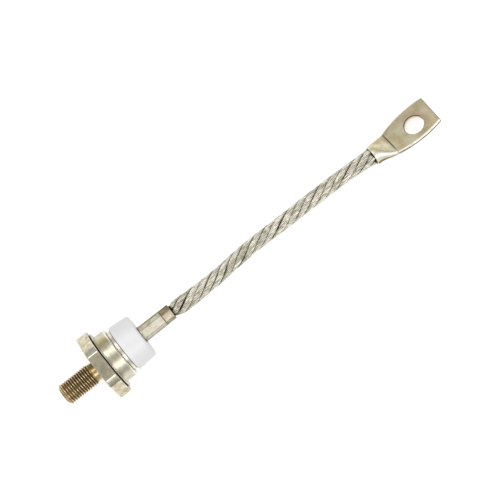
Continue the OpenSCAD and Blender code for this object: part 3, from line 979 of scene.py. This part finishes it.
def lug_body(lug):
    """The lug along X before it is drilled: bore, barrel, shoulder, crease and palm in one skin."""
    skin = Skin()
    edge, step, corner = lug.edge, 0.25 * MM, 0.3 * MM
    palm = palm_place(lug)

    def ring(place, *section):
        skin.ring([place @ point for point in bar_ring(*section)])

    def round_ring(x, r):
        ring(Matrix.Translation((x, 0, 0)), r, r, r)

    def palm_ring(x, inset):
        section = bar_ring(palm_half_width(lug, x) - inset, lug.half_t - inset, corner, lug.seam)
        skin.ring([palm @ point for point in skewed(lug, x, section)])

    skin.ring([(lug.bore_l, 0, 0)])
    for r in (0.5 * lug.bore_r, lug.bore_r):
        round_ring(lug.bore_l, r)
    for rise, run in quarter(edge, 3):
        round_ring(edge - rise, lug.bore_r + run)
    for rise, run in quarter(edge, 3):
        round_ring(run, lug.barrel_r - edge + rise)
    for share in (0.25, 0.5):
        round_ring(share * lug.barrel_l, lug.barrel_r)

    shoulder = lug.shoulder_l - 0.6 * lug.barrel_l
    crease_w, crease_t = palm_half_width(lug, 0), lug.half_t + lug.crease
    for f in even(0.03, 1, 32):
        s = smooth(f)
        thick = mix(lug.barrel_r, crease_t, (s + f) / 2)
        place = Matrix.Translation((lug.shoulder_l - shoulder * (1 - f), 0, -lug.palm_drop * s))
        ring(place @ Matrix.Rotation(-lug.pitch * s, 4, "Y"), mix(lug.barrel_r, crease_w, s), thick,
             thick)
    for f in (0.25, 0.5, 0.75, 1.0):
        ring(palm @ Matrix.Translation((f * step, 0, 0)), palm_half_width(lug, f * step),
             lug.half_t + lug.crease * (1 - smooth(f)), mix(crease_t, corner, f), lug.seam * f)

    near_end = lug.palm_l - 0.6 * MM
    for x in even(2 * step, near_end, 48) + even(near_end + 0.1 * MM, lug.palm_l - 2 * edge, 2):
        palm_ring(x, 0.0)
    for rise, run in quarter(edge)[1:]:
        palm_ring(lug.palm_l - edge + rise, run)
    skin.ring([palm @ Vector((lug.palm_l, 0, 0))])
    skin.join()
    return skin.piece("cable_lug_pressed")


def hole_cutter(lug, sides=128):
    """Round bar for the bolt hole, flared where it leaves the palm to round the hole's rims."""
    edge, beyond = lug.hole_edge, 3 * lug.half_t
    rim = [(lug.half_t - edge + rise, lug.hole_r + run) for rise, run in quarter(edge, 5)]
    outline = [(-beyond, lug.hole_r + edge), *[(-z, r) for z, r in reversed(rim)]]
    outline += [(share * lug.half_t, lug.hole_r) for share in (0.3, 0.45, 0.6, 0.75)]
    outline += [*rim, (beyond, lug.hole_r + edge)]
    place = palm_place(lug) @ Matrix.Translation((lug.hole_x, -lug.hole_aside, 0))
    skin = Skin()
    skin.ring([place @ Vector((0, 0, -beyond))])
    for z, r in outline:
        skin.ring([place @ Vector((r * cos(a), r * sin(a), z)) for a in around(sides)])
    skin.ring([place @ Vector((0, 0, beyond))])
    skin.join()
    return skin.piece("hole_cutter")


def cut_away(piece, cutter):
    """Takes one closed mesh out of another."""
    cut = piece.modifiers.new("Cut", "BOOLEAN")
    cut.operation = "DIFFERENCE"
    cut.solver = "EXACT"
    cut.object = cutter
    graph = bpy.context.evaluated_depsgraph_get()
    mesh = bpy.data.meshes.new_from_object(piece.evaluated_get(graph))
    piece.modifiers.clear()
    piece.data = mesh
    bpy.data.objects.remove(cutter)


def palm_marks(lug, x, y, z):
    """Wear and painted highlight, dirt and painted shade, and tone at a place of the palm.

    The place is given from the crease on.
    """
    hole_y = -lug.hole_aside
    from_hole = hypot(x - lug.hole_x, y - hole_y) - lug.hole_r
    in_hole = from_hole < 0.75 * lug.hole_edge
    height = z / lug.half_t
    # A painted highlight just past the crease
    worn_and_lit = [0.3 * bell(x - 0.75 * MM, 0.25 * MM)]
    middle = bell(y - 0.4 * MM, 5 * MM, 4)
    # Painted shade in the crease
    dirty_and_shaded = [mix(0.12, 1.0, middle) * bell(x - 0.18 * MM, 0.3 * MM, 4)]
    if in_hole:
        # Painted shade on the hole's wall: all over on the -Y side, towards the top on the +Y side
        behind = ramp(y - hole_y - 0.2 * (x - lug.hole_x), -1.5 * MM, 1.5 * MM)
        dirty_and_shaded += [0.75 * (1 - behind), 0.95 * behind * ramp(height, 0.25, 0.5)]
    elif x > 0 and height > 0.9:
        # Top face darker towards its +Y edge
        dirty_and_shaded.append(0.16 * ramp(y, 1.5 * MM, 5.5 * MM))
    if x > 0.1 * MM:
        # Darker line along the palm's end
        dirty_and_shaded.append(0.75 * bell(lug.palm_l + y * tan(lug.skew) - x, 0.22 * MM))
        if palm_half_width(lug, min(x, lug.palm_l)) - abs(y) < 0.32 * MM:
            # On the side edge: a painted highlight band with painted shade below it, and a darker
            # line near the crease
            near = ramp(x, 9 * MM, 2 * MM)
            bottom = -0.1 - 0.15 * near
            worn_and_lit.append(ramp(height, bottom - 0.1, bottom + 0.1) * ramp(height, 1.05, 0.95))
            dirty_and_shaded += [0.9 * ramp(height, bottom, bottom - 0.2), near * bell(height - 0.3, 0.2)]
    warm = bell(from_hole - 0.6 * MM, 1.3 * MM) * ramp(x - lug.hole_x + y - hole_y, -2 * MM, 3 * MM)
    return max(worn_and_lit), max(dirty_and_shaded), max(warm, 0.6 * bell(lug.palm_l - x, 1.2 * MM))


def mark_lug(lug, mesh):
    """Gives each point of the lug its wear and painted highlight, its dirt and painted shade, and
    its tone, worked out from its place and, on the shoulder, from the way it faces.
    """
    to_palm = palm_place(lug).inverted()
    rows = []
    for vertex in mesh.vertices:
        x, y, z = to_palm @ vertex.co
        wear_and_highlight, dirt_and_shade, tone = palm_marks(lug, x, y, z)
        from_mouth = vertex.co.x
        wear_and_highlight = max(wear_and_highlight, 0.6 * bell(from_mouth, 0.2 * MM))
        # Painted highlight on the shoulder's flank towards -Y, and painted shade along its
        # underside
        if 0.2 * MM < from_mouth and x < -0.1 * MM:
            tilt = degrees(atan2(vertex.normal.y, vertex.normal.z))
            wear_and_highlight = max(wear_and_highlight, ramp(tilt, -26, -36) * ramp(tilt, -86, -78))
            dirt_and_shade = max(dirt_and_shade, 0.85 * bell(tilt + 100, 11))
        # Painted shade in the bore
        if from_mouth < lug.bore_l + 0.1 * MM and vertex.co.yz.length < lug.bore_r + 0.05 * MM:
            dirt_and_shade = 1.0
        rows.append((wear_and_highlight, dirt_and_shade, tone))
    for name, values in zip(MARKS, zip(*rows)):
        mesh.attributes[name].data.foreach_set("value", values)


def build_lug():
    """The cable lug, pressed from a length of tube and drilled."""
    lug, finishes = settings().lug, settings().finishes
    made = lug_body(lug)
    cut_away(made, hole_cutter(lug))
    mark_lug(lug, made.data)
    end = Vector((high("crimp_tube").x, 0, 0)) + Vector(ROUTE[-1]) * MM
    made.data.transform(Matrix.Translation(end) @ lug_turn(lug))
    made.data.shade_smooth()
    made.data.set_sharp_from_angle(angle=radians(35))
    made.modifiers.new("Face normals", "WEIGHTED_NORMAL").keep_sharp = True
    # The wire colour gives the lug's worn edges and its painted highlights, the brown colour its
    # dirt and painted shade
    finish = plated_metal(
        "Lug plating", finishes.lug, finishes.lug_shade, stains=0.16, roughness=(0.36, 0.52),
        marks=0.1, patch_scale=150.0, wear_and_highlight=1.2, dirt_and_shade_level=1.0, edge=finishes.wire, grime_and_shade=finishes.brown_dirt_and_shade,
        tone_colour=finishes.rust, tone_strength=0.5)
    dress(made, finish, "lug_metal", "cable_lug")


# Crimp tube

def tube_radius(tube, x, angle, start):
    """Radius of the crimp tube's outside at a place along it, from where the first crimp starts."""
    blend = 0.12 * MM
    crimp = hexagon_radius(angle, tube.crimp_flat, tube.corner_r, blend, tube.crimp_turn)
    grip = hexagon_radius(angle, tube.grip_flat, tube.corner_r, blend, tube.grip_turn)
    pressed = mix(tube.radius, crimp, smooth((x - start) / tube.step_l))
    return mix(pressed, grip, smooth((x - start - tube.crimp_l) / tube.step_l))


def painted_flat_shade(angle, turned_by):
    """Painted shade on a crimp's flats: most on the sides, and none on the top and bottom."""
    tones = 0.0, 0.6375, 0.75
    flat = round((angle - turned_by - pi / 2) / SIXTH) % len(tones)
    return tones[flat] * ramp(off_flat(angle, turned_by), radians(29), radians(24))


def pressed_band(skin, tube, x, top, start):
    """One ring of the tube's pressed outside.

    It carries painted shade by the insulator at its end, at the step and on its sides, light and
    dark lines along its corners, and the painted shade of its flats.
    """
    grip = start + tube.crimp_l
    turned_by = tube.crimp_turn if x < grip else tube.grip_turn
    tone = [painted_flat_shade(a, turned_by) for a in skin.angles]
    # The second crimp is darker on all its flats
    if x >= grip:
        tone = [0.82 + 0.5 * value for value in tone]
    # Painted shade by the insulator
    insulator_shade = 0.9 * bell(x - top - 0.1 * MM, 0.32 * MM)
    # Painted shade at the step between the crimps
    step = 0.9 * bell(x - grip - 0.1 * MM, 0.18 * MM)
    edge = 0.55 * smooth((x - start) / tube.step_l)
    pinch, dirt_and_shade = [], []
    # Light and dark lines along the corners, and painted shade on the sides towards +Y and -Y
    for a in skin.angles:
        pinch.append(edge * ramp(off_flat(a, turned_by), radians(24), radians(28)))
        dirt_and_shade.append(max(insulator_shade, step, pinch[-1], 0.3 * ramp(abs(cos(a)), 0.84, 0.94)))
    radii = [tube_radius(tube, x, a, start) for a in skin.angles]
    skin.band(x, radii, [0.3 * pinched for pinched in pinch], dirt_and_shade, tone)


def build_tube():
    """The tube that holds both leads, crimped twice."""
    tube, finishes = settings().tube, settings().finishes
    foot, mouth, foot_r = low("crimp_tube").x, high("crimp_tube").x, high("crimp_tube").y
    top = high("ceramic_insulator").x
    start = top + tube.neck
    grip = start + tube.crimp_l
    foot_t, edge = 0.7 * MM, 0.12 * MM
    skin = Skin(around(180))
    for x, r in ((foot, tube.bore_r), (foot, foot_r), (foot + foot_t, foot_r),
                 (foot + foot_t, tube.radius)):
        skin.band(x, r, tone=0.0)
    stops = [foot + 2 * foot_t, *[top + gap * MM for gap in (-0.1, 0.05, 0.2, 0.35)]]
    for first, last, count in (
            (start - 0.05 * MM, start + tube.step_l, 6), (start + 0.6 * MM, grip - 0.3 * MM, 16),
            (grip - 0.1 * MM, grip + tube.step_l, 8), (grip + 0.6 * MM, mouth - 4 * edge, 6),
            (mouth - 3 * edge, mouth - 1.5 * edge, 2)):
        stops += even(first, last, count)
    for x in stops:
        pressed_band(skin, tube, x, top, start)
    # Painted shade on the mouth's rim and in the bore
    for q, (rise, run) in enumerate(quarter(edge)):
        radii = [tube_radius(tube, mouth, angle, start) - run for angle in skin.angles]
        skin.band(mouth - edge + rise, radii, dirt_and_shade=0.4 + 0.12 * q, tone=0.6)
    for rise, run in quarter(edge):
        skin.band(mouth - run, tube.bore_r + edge - rise, dirt_and_shade=1.0)
    skin.band(mouth - 1.5 * MM, tube.bore_r, dirt_and_shade=1.0)
    skin.join(loop=True)
    finish = plated_metal(
        "Tube plating", finishes.tube, finishes.plating, stains=0.12, roughness=(0.3, 0.42),
        marks=0.15, patch_scale=420.0, tone_colour=finishes.tube_shade, tone_strength=0.9)
    dress(skin.piece("crimp_tube_pressed"), finish, "tube_metal", "crimp_tube")


# Hexagon and stud

def thread_cut(base, x, angle):
    """Depth of the thread at a place, from 0 on a crest to 1 in a root."""
    crest, root = 0.14, 0.2
    from_root = abs((x / base.pitch - angle / tau) % 1.0 - 0.5) * 2
    share = (1 - from_root - crest) / (1 - crest - root)
    share = min(max(share, 0.0), 1.0)
    return (share + smooth(share)) / 2


def stud_rings(skin, base, tip):
    """The stud from its end face to its neck."""
    rings_a_turn = 16
    count = round((-tip - base.neck_l) / base.pitch * rings_a_turn)
    rise = (base.stud_r - base.tip_r) / base.tip_l
    skin.ring([(tip, 0, 0)], tone=0.0)
    skin.band(tip, 0.6 * base.tip_r, tone=0.0)
    skin.band(tip, base.tip_r - 0.1 * MM, 0.3, tone=0.0)
    for x in even(tip + 0.05 * MM, -base.neck_l + 0.3 * MM, count):
        from_tip = x - tip
        chamfer = base.tip_r + from_tip * rise
        run_out = base.neck_top_r + max(0.0, -base.neck_l + 0.1 * MM - x)
        limit = soft_min(chamfer, run_out, 0.1 * MM)
        deep = mix(0.35, 1.0, ramp(from_tip, 0.8 * MM, 2.8 * MM))
        aged = ramp(from_tip, 1 * MM, 10 * MM)
        # Darker near the end face
        darker_end = 0.42 * ramp(from_tip, 1.1 * MM, 0.4 * MM)
        radii, wear_and_highlight, dirt_and_shade = [], [], []
        for angle in skin.angles:
            cut = thread_cut(base, x, angle)
            threaded = base.stud_r - base.depth * cut * deep
            radii.append(soft_min(threaded, limit, 0.06 * MM))
            shown = ramp(limit - threaded, 0, 0.1 * MM)
            up = cos(angle)
            # Rubbed crests, dimmed towards the +Y side as painted shade
            wear_and_highlight.append(ramp(cut, 0.35, 0) * shown * mix(1.0, 0.6, ramp(up, 0.3, 0.8)))
            # Dirt in the roots, heavier towards the +Y side as painted shade
            root_dirt_and_shade = mix(0.86, 1.0, ramp(up, -0.1, 0.5)) * mix(0.75, 1.0, aged) * deep
            dirt_and_shade.append(max(ramp(cut, 0.3, 0.75) * shown * root_dirt_and_shade, darker_end))
        skin.band(x, radii, wear_and_highlight, dirt_and_shade, mix(0.25, 0.8, aged))


def neck_rings(skin, base):
    """The neck between the thread and the hexagon.

    It carries a painted highlight across its middle and -Y side, and painted shade on its +Y
    side, along its -Y edge and in the corners at both ends.
    """
    ups = [cos(angle) for angle in skin.angles]
    for x in even(-base.neck_l + 0.4 * MM, -0.35 * MM, 9):
        share = (x + base.neck_l) / base.neck_l
        ends = 0.7 * ramp(share, 0.27, 0.12) + 0.5 * ramp(share, 0.8, 0.9)
        # Painted highlight and painted shade by the way each point faces
        worn_and_lit = [0.8 * ramp(up, 0.5, -0.4) for up in ups]
        dirty_and_shaded = [max(ends, 0.62 * ramp(up, 0.2, 0.6), 0.3 * ramp(up, -0.25, -0.55)) for up in ups]
        skin.band(x, mix(base.neck_top_r, base.neck_r, share), worn_and_lit, dirty_and_shaded, 0.15)


def side_band(skin, base, x, inset, wear_and_highlight, darker_end, top, flat):
    """One ring of the hexagon's sides.

    Its turned corners carry painted highlights on the +Y side and painted shade on the -Y side.
    """
    slope = max(0.0, base.corner_chamfer - x, x - top + base.corner_chamfer)
    corner_at = acos(flat / base.corner_r)
    radii, marks, dirt_and_shade_level = [], [], []
    for angle in skin.angles:
        up = cos(angle)
        across = hexagon_radius(
            angle, flat, base.corner_r, mix(0.12 * MM, 0.7 * MM, ramp(up, 0.47, 0.57))) - inset
        radii.append(soft_min(across, base.corner_r - slope, 0.08 * MM))
        into = off_flat(angle) - corner_at
        corner = ramp(into, 0, radians(1.5))
        # Painted highlight along the start of each turned corner, on the flats that face up and
        # down
        corner_highlight = bell(into, radians(1)) if abs(up) < 0.47 else 0.0
        past = (angle - SIXTH / 2 - corner_at) % SIXTH / (SIXTH - 2 * corner_at)
        # Painted highlight on the +Y corners; painted shade and a darker line at their end on the
        # -Y ones
        if up > 0:
            lit, shade, seam = smooth(1.1 * (1 - past)), 0.08, 0.0
        else:
            lit, shade, seam = (1 - past) ** 4, 0.4, 0.6 * bell(past - 0.93, 0.07)
        marks.append(max(wear_and_highlight, corner_highlight, 0.9 * corner * lit))
        dirt_and_shade_level.append(max(darker_end, shade * corner * smooth(past), seam))
    skin.band(x, radii, marks, dirt_and_shade_level)


def hexagon_rings(skin, base, top, flat):
    """The hexagon from its seat to its top, with rounded edges and turned corners."""
    fillet, edge = 0.3 * MM, base.edge
    # Painted shade in the corner between neck and seat
    for rise, run in quarter(fillet):
        skin.band(rise - fillet, base.neck_r + run, dirt_and_shade=0.7)
    for r in (5 * MM, 8 * MM, 11 * MM, flat - 3 * edge):
        skin.band(0.0, r)
    levels = [(run, edge - rise, 0.9, 0.0) for rise, run in quarter(edge)]
    levels += [(x, 0.0, 0.0, 0.0) for x in (
        edge + 0.12 * MM, 0.5 * MM, 1 * MM, 2 * MM, 3 * MM, 4 * MM, top - 0.5 * MM,
        top - edge - 0.12 * MM)]
    # The top edge grows darker towards the weld groove: painted shade
    levels += [(top - edge + rise, run, 0.9, smooth((q - 1) / 2))
               for q, (rise, run) in enumerate(quarter(edge))]
    for x, inset, wear_and_highlight, darker_end in levels:
        side_band(skin, base, x, inset, wear_and_highlight, darker_end, top, flat)


def build_base():
    """Hexagon, threaded stud and pedestal, in one piece."""
    base, finishes = settings().base, settings().finishes
    tip, seat_top = low("stud_base").x, high("stud_base").x
    flat, top = high("stud_base").z, low("weld_ring").x
    # Degrees from the middle of a flat, close together where the corner starts
    spots = [3.5, 7, 10, 13, 16, 19, 21.5, 22.4, 22.9, 23.3, 23.7, 24.2, 25, 27]
    spots = [-30, *[-spot for spot in reversed(spots)], 0, *spots]
    skin = Skin([radians(60 * side + 30 + spot) for side in range(6) for spot in spots])
    stud_rings(skin, base, tip)
    neck_rings(skin, base)
    hexagon_rings(skin, base, top, flat)
    # Painted shade on the top face beside and under the weld ring
    for r in (flat - 3 * base.edge, settings().housing.ring_r, 10 * MM, base.pedestal_r):
        skin.band(top, r, dirt_and_shade=0.6 if r < flat - 0.7 * MM else 0.0)
    for r in (base.pedestal_r, 0.5 * base.pedestal_r):
        skin.band(seat_top, r)
    skin.ring([(seat_top, 0, 0)])
    skin.join()
    hexagon = plated_metal(
        "Hexagon plating", finishes.plating, finishes.plating_shade, stains=0.18,
        roughness=(0.2, 0.3), marks=0.35, patch_scale=420.0)
    thread = plated_metal(
        "Stud plating", finishes.stud, finishes.stain, finishes.stud_shade, roughness=(0.2, 0.32),
        marks=0.2, wear_and_highlight=0.85, dirt_and_shade_level=1.0, patch_scale=500.0, edge=finishes.stud_edge,
        grime_and_shade=finishes.brown_dirt_and_shade, tone_colour=finishes.stud_shade, tone_strength=0.5)
    made = dress(skin.piece("stud_base_threaded"), hexagon, "base_metal", "stud_base")
    made.data.materials.append(thread)
    for face in made.data.polygons:
        if face.center.x < -0.05 * MM:
            face.material_index = 1


# Weld ring, cap, sleeve and insulator

def cap_reflection_share(angle):
    """Share of the painted reflection, an olive band, at an angle round the cap."""
    middle, width = radians(47), radians(11)
    return bell(remainder(angle - middle, tau), width)


def build_housing():
    """The weld ring, the drawn cap, the seal sleeve and the insulator."""
    housing, finishes = settings().housing, settings().finishes
    gap = 0.05 * MM

    bottom, ring_top = low("weld_ring").x, low("cap_shell").x
    inner = settings().base.pedestal_r + gap
    # The weld ring is dark all over, painted shade in the groove between hexagon and cap
    ring = turned("weld_ring_steel", (
        (bottom, inner, 0, 1.0), (bottom, housing.ring_r, 0, 1.0),
        (ring_top, housing.ring_r, 0, 1.0), (ring_top, inner, 0, 1.0)))
    finish = plated_metal(
        "Weld ring shade", finishes.weld_ring_shade, finishes.weld_groove_shade, finishes.grime_and_shade, dirt_and_shade_level=1.0, wear_and_highlight=0.1,
        roughness=(0.55, 0.7), grime_and_shade=finishes.weld_groove_shade)
    dress(ring, finish, "ring_metal", "weld_ring")

    top, flange_r = high("cap_shell").x, high("cap_shell").y
    wall, bore, lip = housing.wall_r, housing.wall_r - housing.wall_t, housing.sleeve_r + gap
    foot, under_lip = ring_top + housing.flange_t, top - housing.wall_t
    # Painted shade along the flange's lower edge by the weld groove and in the corner between
    # flange and wall; the tone round the cap carries its painted reflection
    cap = turned("cap_shell_drawn", (
        (ring_top, bore, 0), (ring_top, flange_r, 0.15 * MM, 0.9), (foot, flange_r, 0.15 * MM),
        (foot, wall + housing.foot_run, 0.12 * MM), (foot + housing.foot_run / 2, wall, 0),
        (top, wall, housing.shoulder), (top, lip, 0.15 * MM), (under_lip, lip, 0),
        (under_lip, bore, 0)), tone_at=cap_reflection_share)
    finish = plated_metal(
        "Cap plating", finishes.cap, finishes.cap_shade, stains=0.1, roughness=(0.28, 0.36),
        marks=0.35, dirt_and_shade_level=0.45, patch_scale=260.0, tone_colour=finishes.cap_reflection_tint, tone_strength=0.78)
    dress(cap, finish, "cap_metal", "cap_shell")

    sleeve_low, sleeve_top = low("seal_sleeve").x, high("seal_sleeve").x
    outside, inside = housing.sleeve_r, housing.sleeve_r - housing.sleeve_t
    # Painted shade at both ends of the sleeve, by the cap's lip and under the insulator
    sleeve = turned("seal_sleeve_soldered", (
        (sleeve_low, inside, 0), (sleeve_low, bore - gap, 0), (under_lip, bore - gap, 0),
        (under_lip, outside, 0, 1.0), (top + 0.08 * MM, outside, 0, 1.0),
        (top + 0.24 * MM, outside, 0), (sleeve_top - 0.38 * MM, outside, 0),
        (sleeve_top - 0.22 * MM, outside, 0, 1.0), (sleeve_top, outside, 0, 1.0),
        (sleeve_top, inside, 0)))
    finish = plated_metal(
        "Sleeve plating", finishes.bright, finishes.plating, stains=0.1, roughness=(0.3, 0.4),
        marks=0.3, dirt_and_shade_level=0.85)
    dress(sleeve, finish, "cap_metal", "seal_sleeve")

    foot_x, top_x = low("ceramic_insulator").x, high("ceramic_insulator").x
    foot_r, hole = high("ceramic_insulator").y, settings().tube.radius + gap
    pot = turned("ceramic_insulator_glazed", (
        (foot_x, housing.cavity_r, 0), (foot_x, foot_r, 0.3 * MM),
        (top_x, housing.insulator_top_r, housing.insulator_rim), (top_x, hole, 0.25 * MM),
        (top_x - housing.cavity_top, hole, 0), (top_x - housing.cavity_top, housing.cavity_r, 0)))
    dress(pot, ceramic_finish(), "insulator", "ceramic_insulator")


# Pieces inside the housing

def build_inside():
    """Finishes of the wafer stack and the inner lead, which stay as they are in the model."""
    finishes = settings().finishes
    solder = hidden_finish("Solder", finishes.solder, 1.0, 0.35)
    disc = hidden_finish("Backing disc", finishes.disc, 1.0, 0.3)
    copper = hidden_finish("Copper", finishes.copper, 1.0, 0.3)
    finish_of = {
        "base_solder": (solder, "solder"),
        "lower_disc": (disc, "disc_metal"),
        "silicon_wafer": (hidden_finish("Silicon", finishes.silicon, 0.0, 0.12), "silicon"),
        "edge_coating": (hidden_finish("Soft coating", finishes.coating, 0.0, 0.5), "coating"),
        "upper_disc": (disc, "disc_metal"),
        "cup_solder": (solder, "solder"),
        "contact_cup": (copper, "copper"),
        "inner_lead": (copper, "copper"),
    }
    for name, (finish, slot) in finish_of.items():
        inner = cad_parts[name]
        inner.data.materials.clear()
        inner.data.materials.append(finish)


# Operators and panel

class DIODE_OT_stage(Operator):
    """Make the camera, the soft lamps and the floor"""

    bl_idname = "diode.stage"
    bl_label = "Stage"

    def execute(self, context):
        build_stage()
        return {"FINISHED"}


class DIODE_OT_lug(Operator):
    """Make the cable lug"""

    bl_idname = "diode.lug"
    bl_label = "Cable lug"

    def execute(self, context):
        build_lug()
        return {"FINISHED"}


class DIODE_OT_rope(Operator):
    """Make the rope lead, which needs the lug"""

    bl_idname = "diode.rope"
    bl_label = "Rope lead"

    def execute(self, context):
        build_rope()
        return {"FINISHED"}


class DIODE_OT_tube(Operator):
    """Make the crimp tube"""

    bl_idname = "diode.tube"
    bl_label = "Crimp tube"

    def execute(self, context):
        build_tube()
        return {"FINISHED"}


class DIODE_OT_base(Operator):
    """Make the hexagon with its threaded stud"""

    bl_idname = "diode.base"
    bl_label = "Hexagon and stud"

    def execute(self, context):
        build_base()
        return {"FINISHED"}


class DIODE_OT_housing(Operator):
    """Make the weld ring, the cap, the sleeve and the insulator"""

    bl_idname = "diode.housing"
    bl_label = "Housing"

    def execute(self, context):
        build_housing()
        return {"FINISHED"}


class DIODE_OT_inside(Operator):
    """Give the pieces inside the housing their finishes"""

    bl_idname = "diode.inside"
    bl_label = "Inner pieces"

    def execute(self, context):
        build_inside()
        return {"FINISHED"}


OPERATORS = (DIODE_OT_stage, DIODE_OT_lug, DIODE_OT_rope, DIODE_OT_tube, DIODE_OT_base,
             DIODE_OT_housing, DIODE_OT_inside)


class DIODE_PT_panel(Panel):
    """Lists the steps that build the diode, and its sizes and colours."""

    bl_label = "Stud diode"
    bl_idname = "DIODE_PT_panel"
    bl_space_type = "VIEW_3D"
    bl_region_type = "UI"
    bl_category = "Diode"

    def draw(self, context):
        for step in OPERATORS:
            self.layout.operator(step.bl_idname)
        for part in DiodeSettings.__annotations__:
            box = self.layout.box()
            box.label(text=part.capitalize())
            values = getattr(context.scene.diode, part)
            for name in values.__annotations__:
                box.prop(values, name)


CLASSES = (BaseSizes, HousingSizes, TubeSizes, RopeSizes, LugSizes, StageSizes, Finishes,
           DiodeSettings, *OPERATORS, DIODE_PT_panel)


def register():
    for kind in CLASSES:
        bpy.utils.register_class(kind)
    bpy.types.Scene.diode = PointerProperty(type=DiodeSettings)


def unregister():
    del bpy.types.Scene.diode
    for kind in reversed(CLASSES):
        bpy.utils.unregister_class(kind)


def main():
    register()
    bpy.ops.diode.stage()
    bpy.ops.diode.lug()
    bpy.ops.diode.rope()
    bpy.ops.diode.tube()
    bpy.ops.diode.base()
    bpy.ops.diode.housing()
    bpy.ops.diode.inside()


if __name__ == "__main__":
    main()
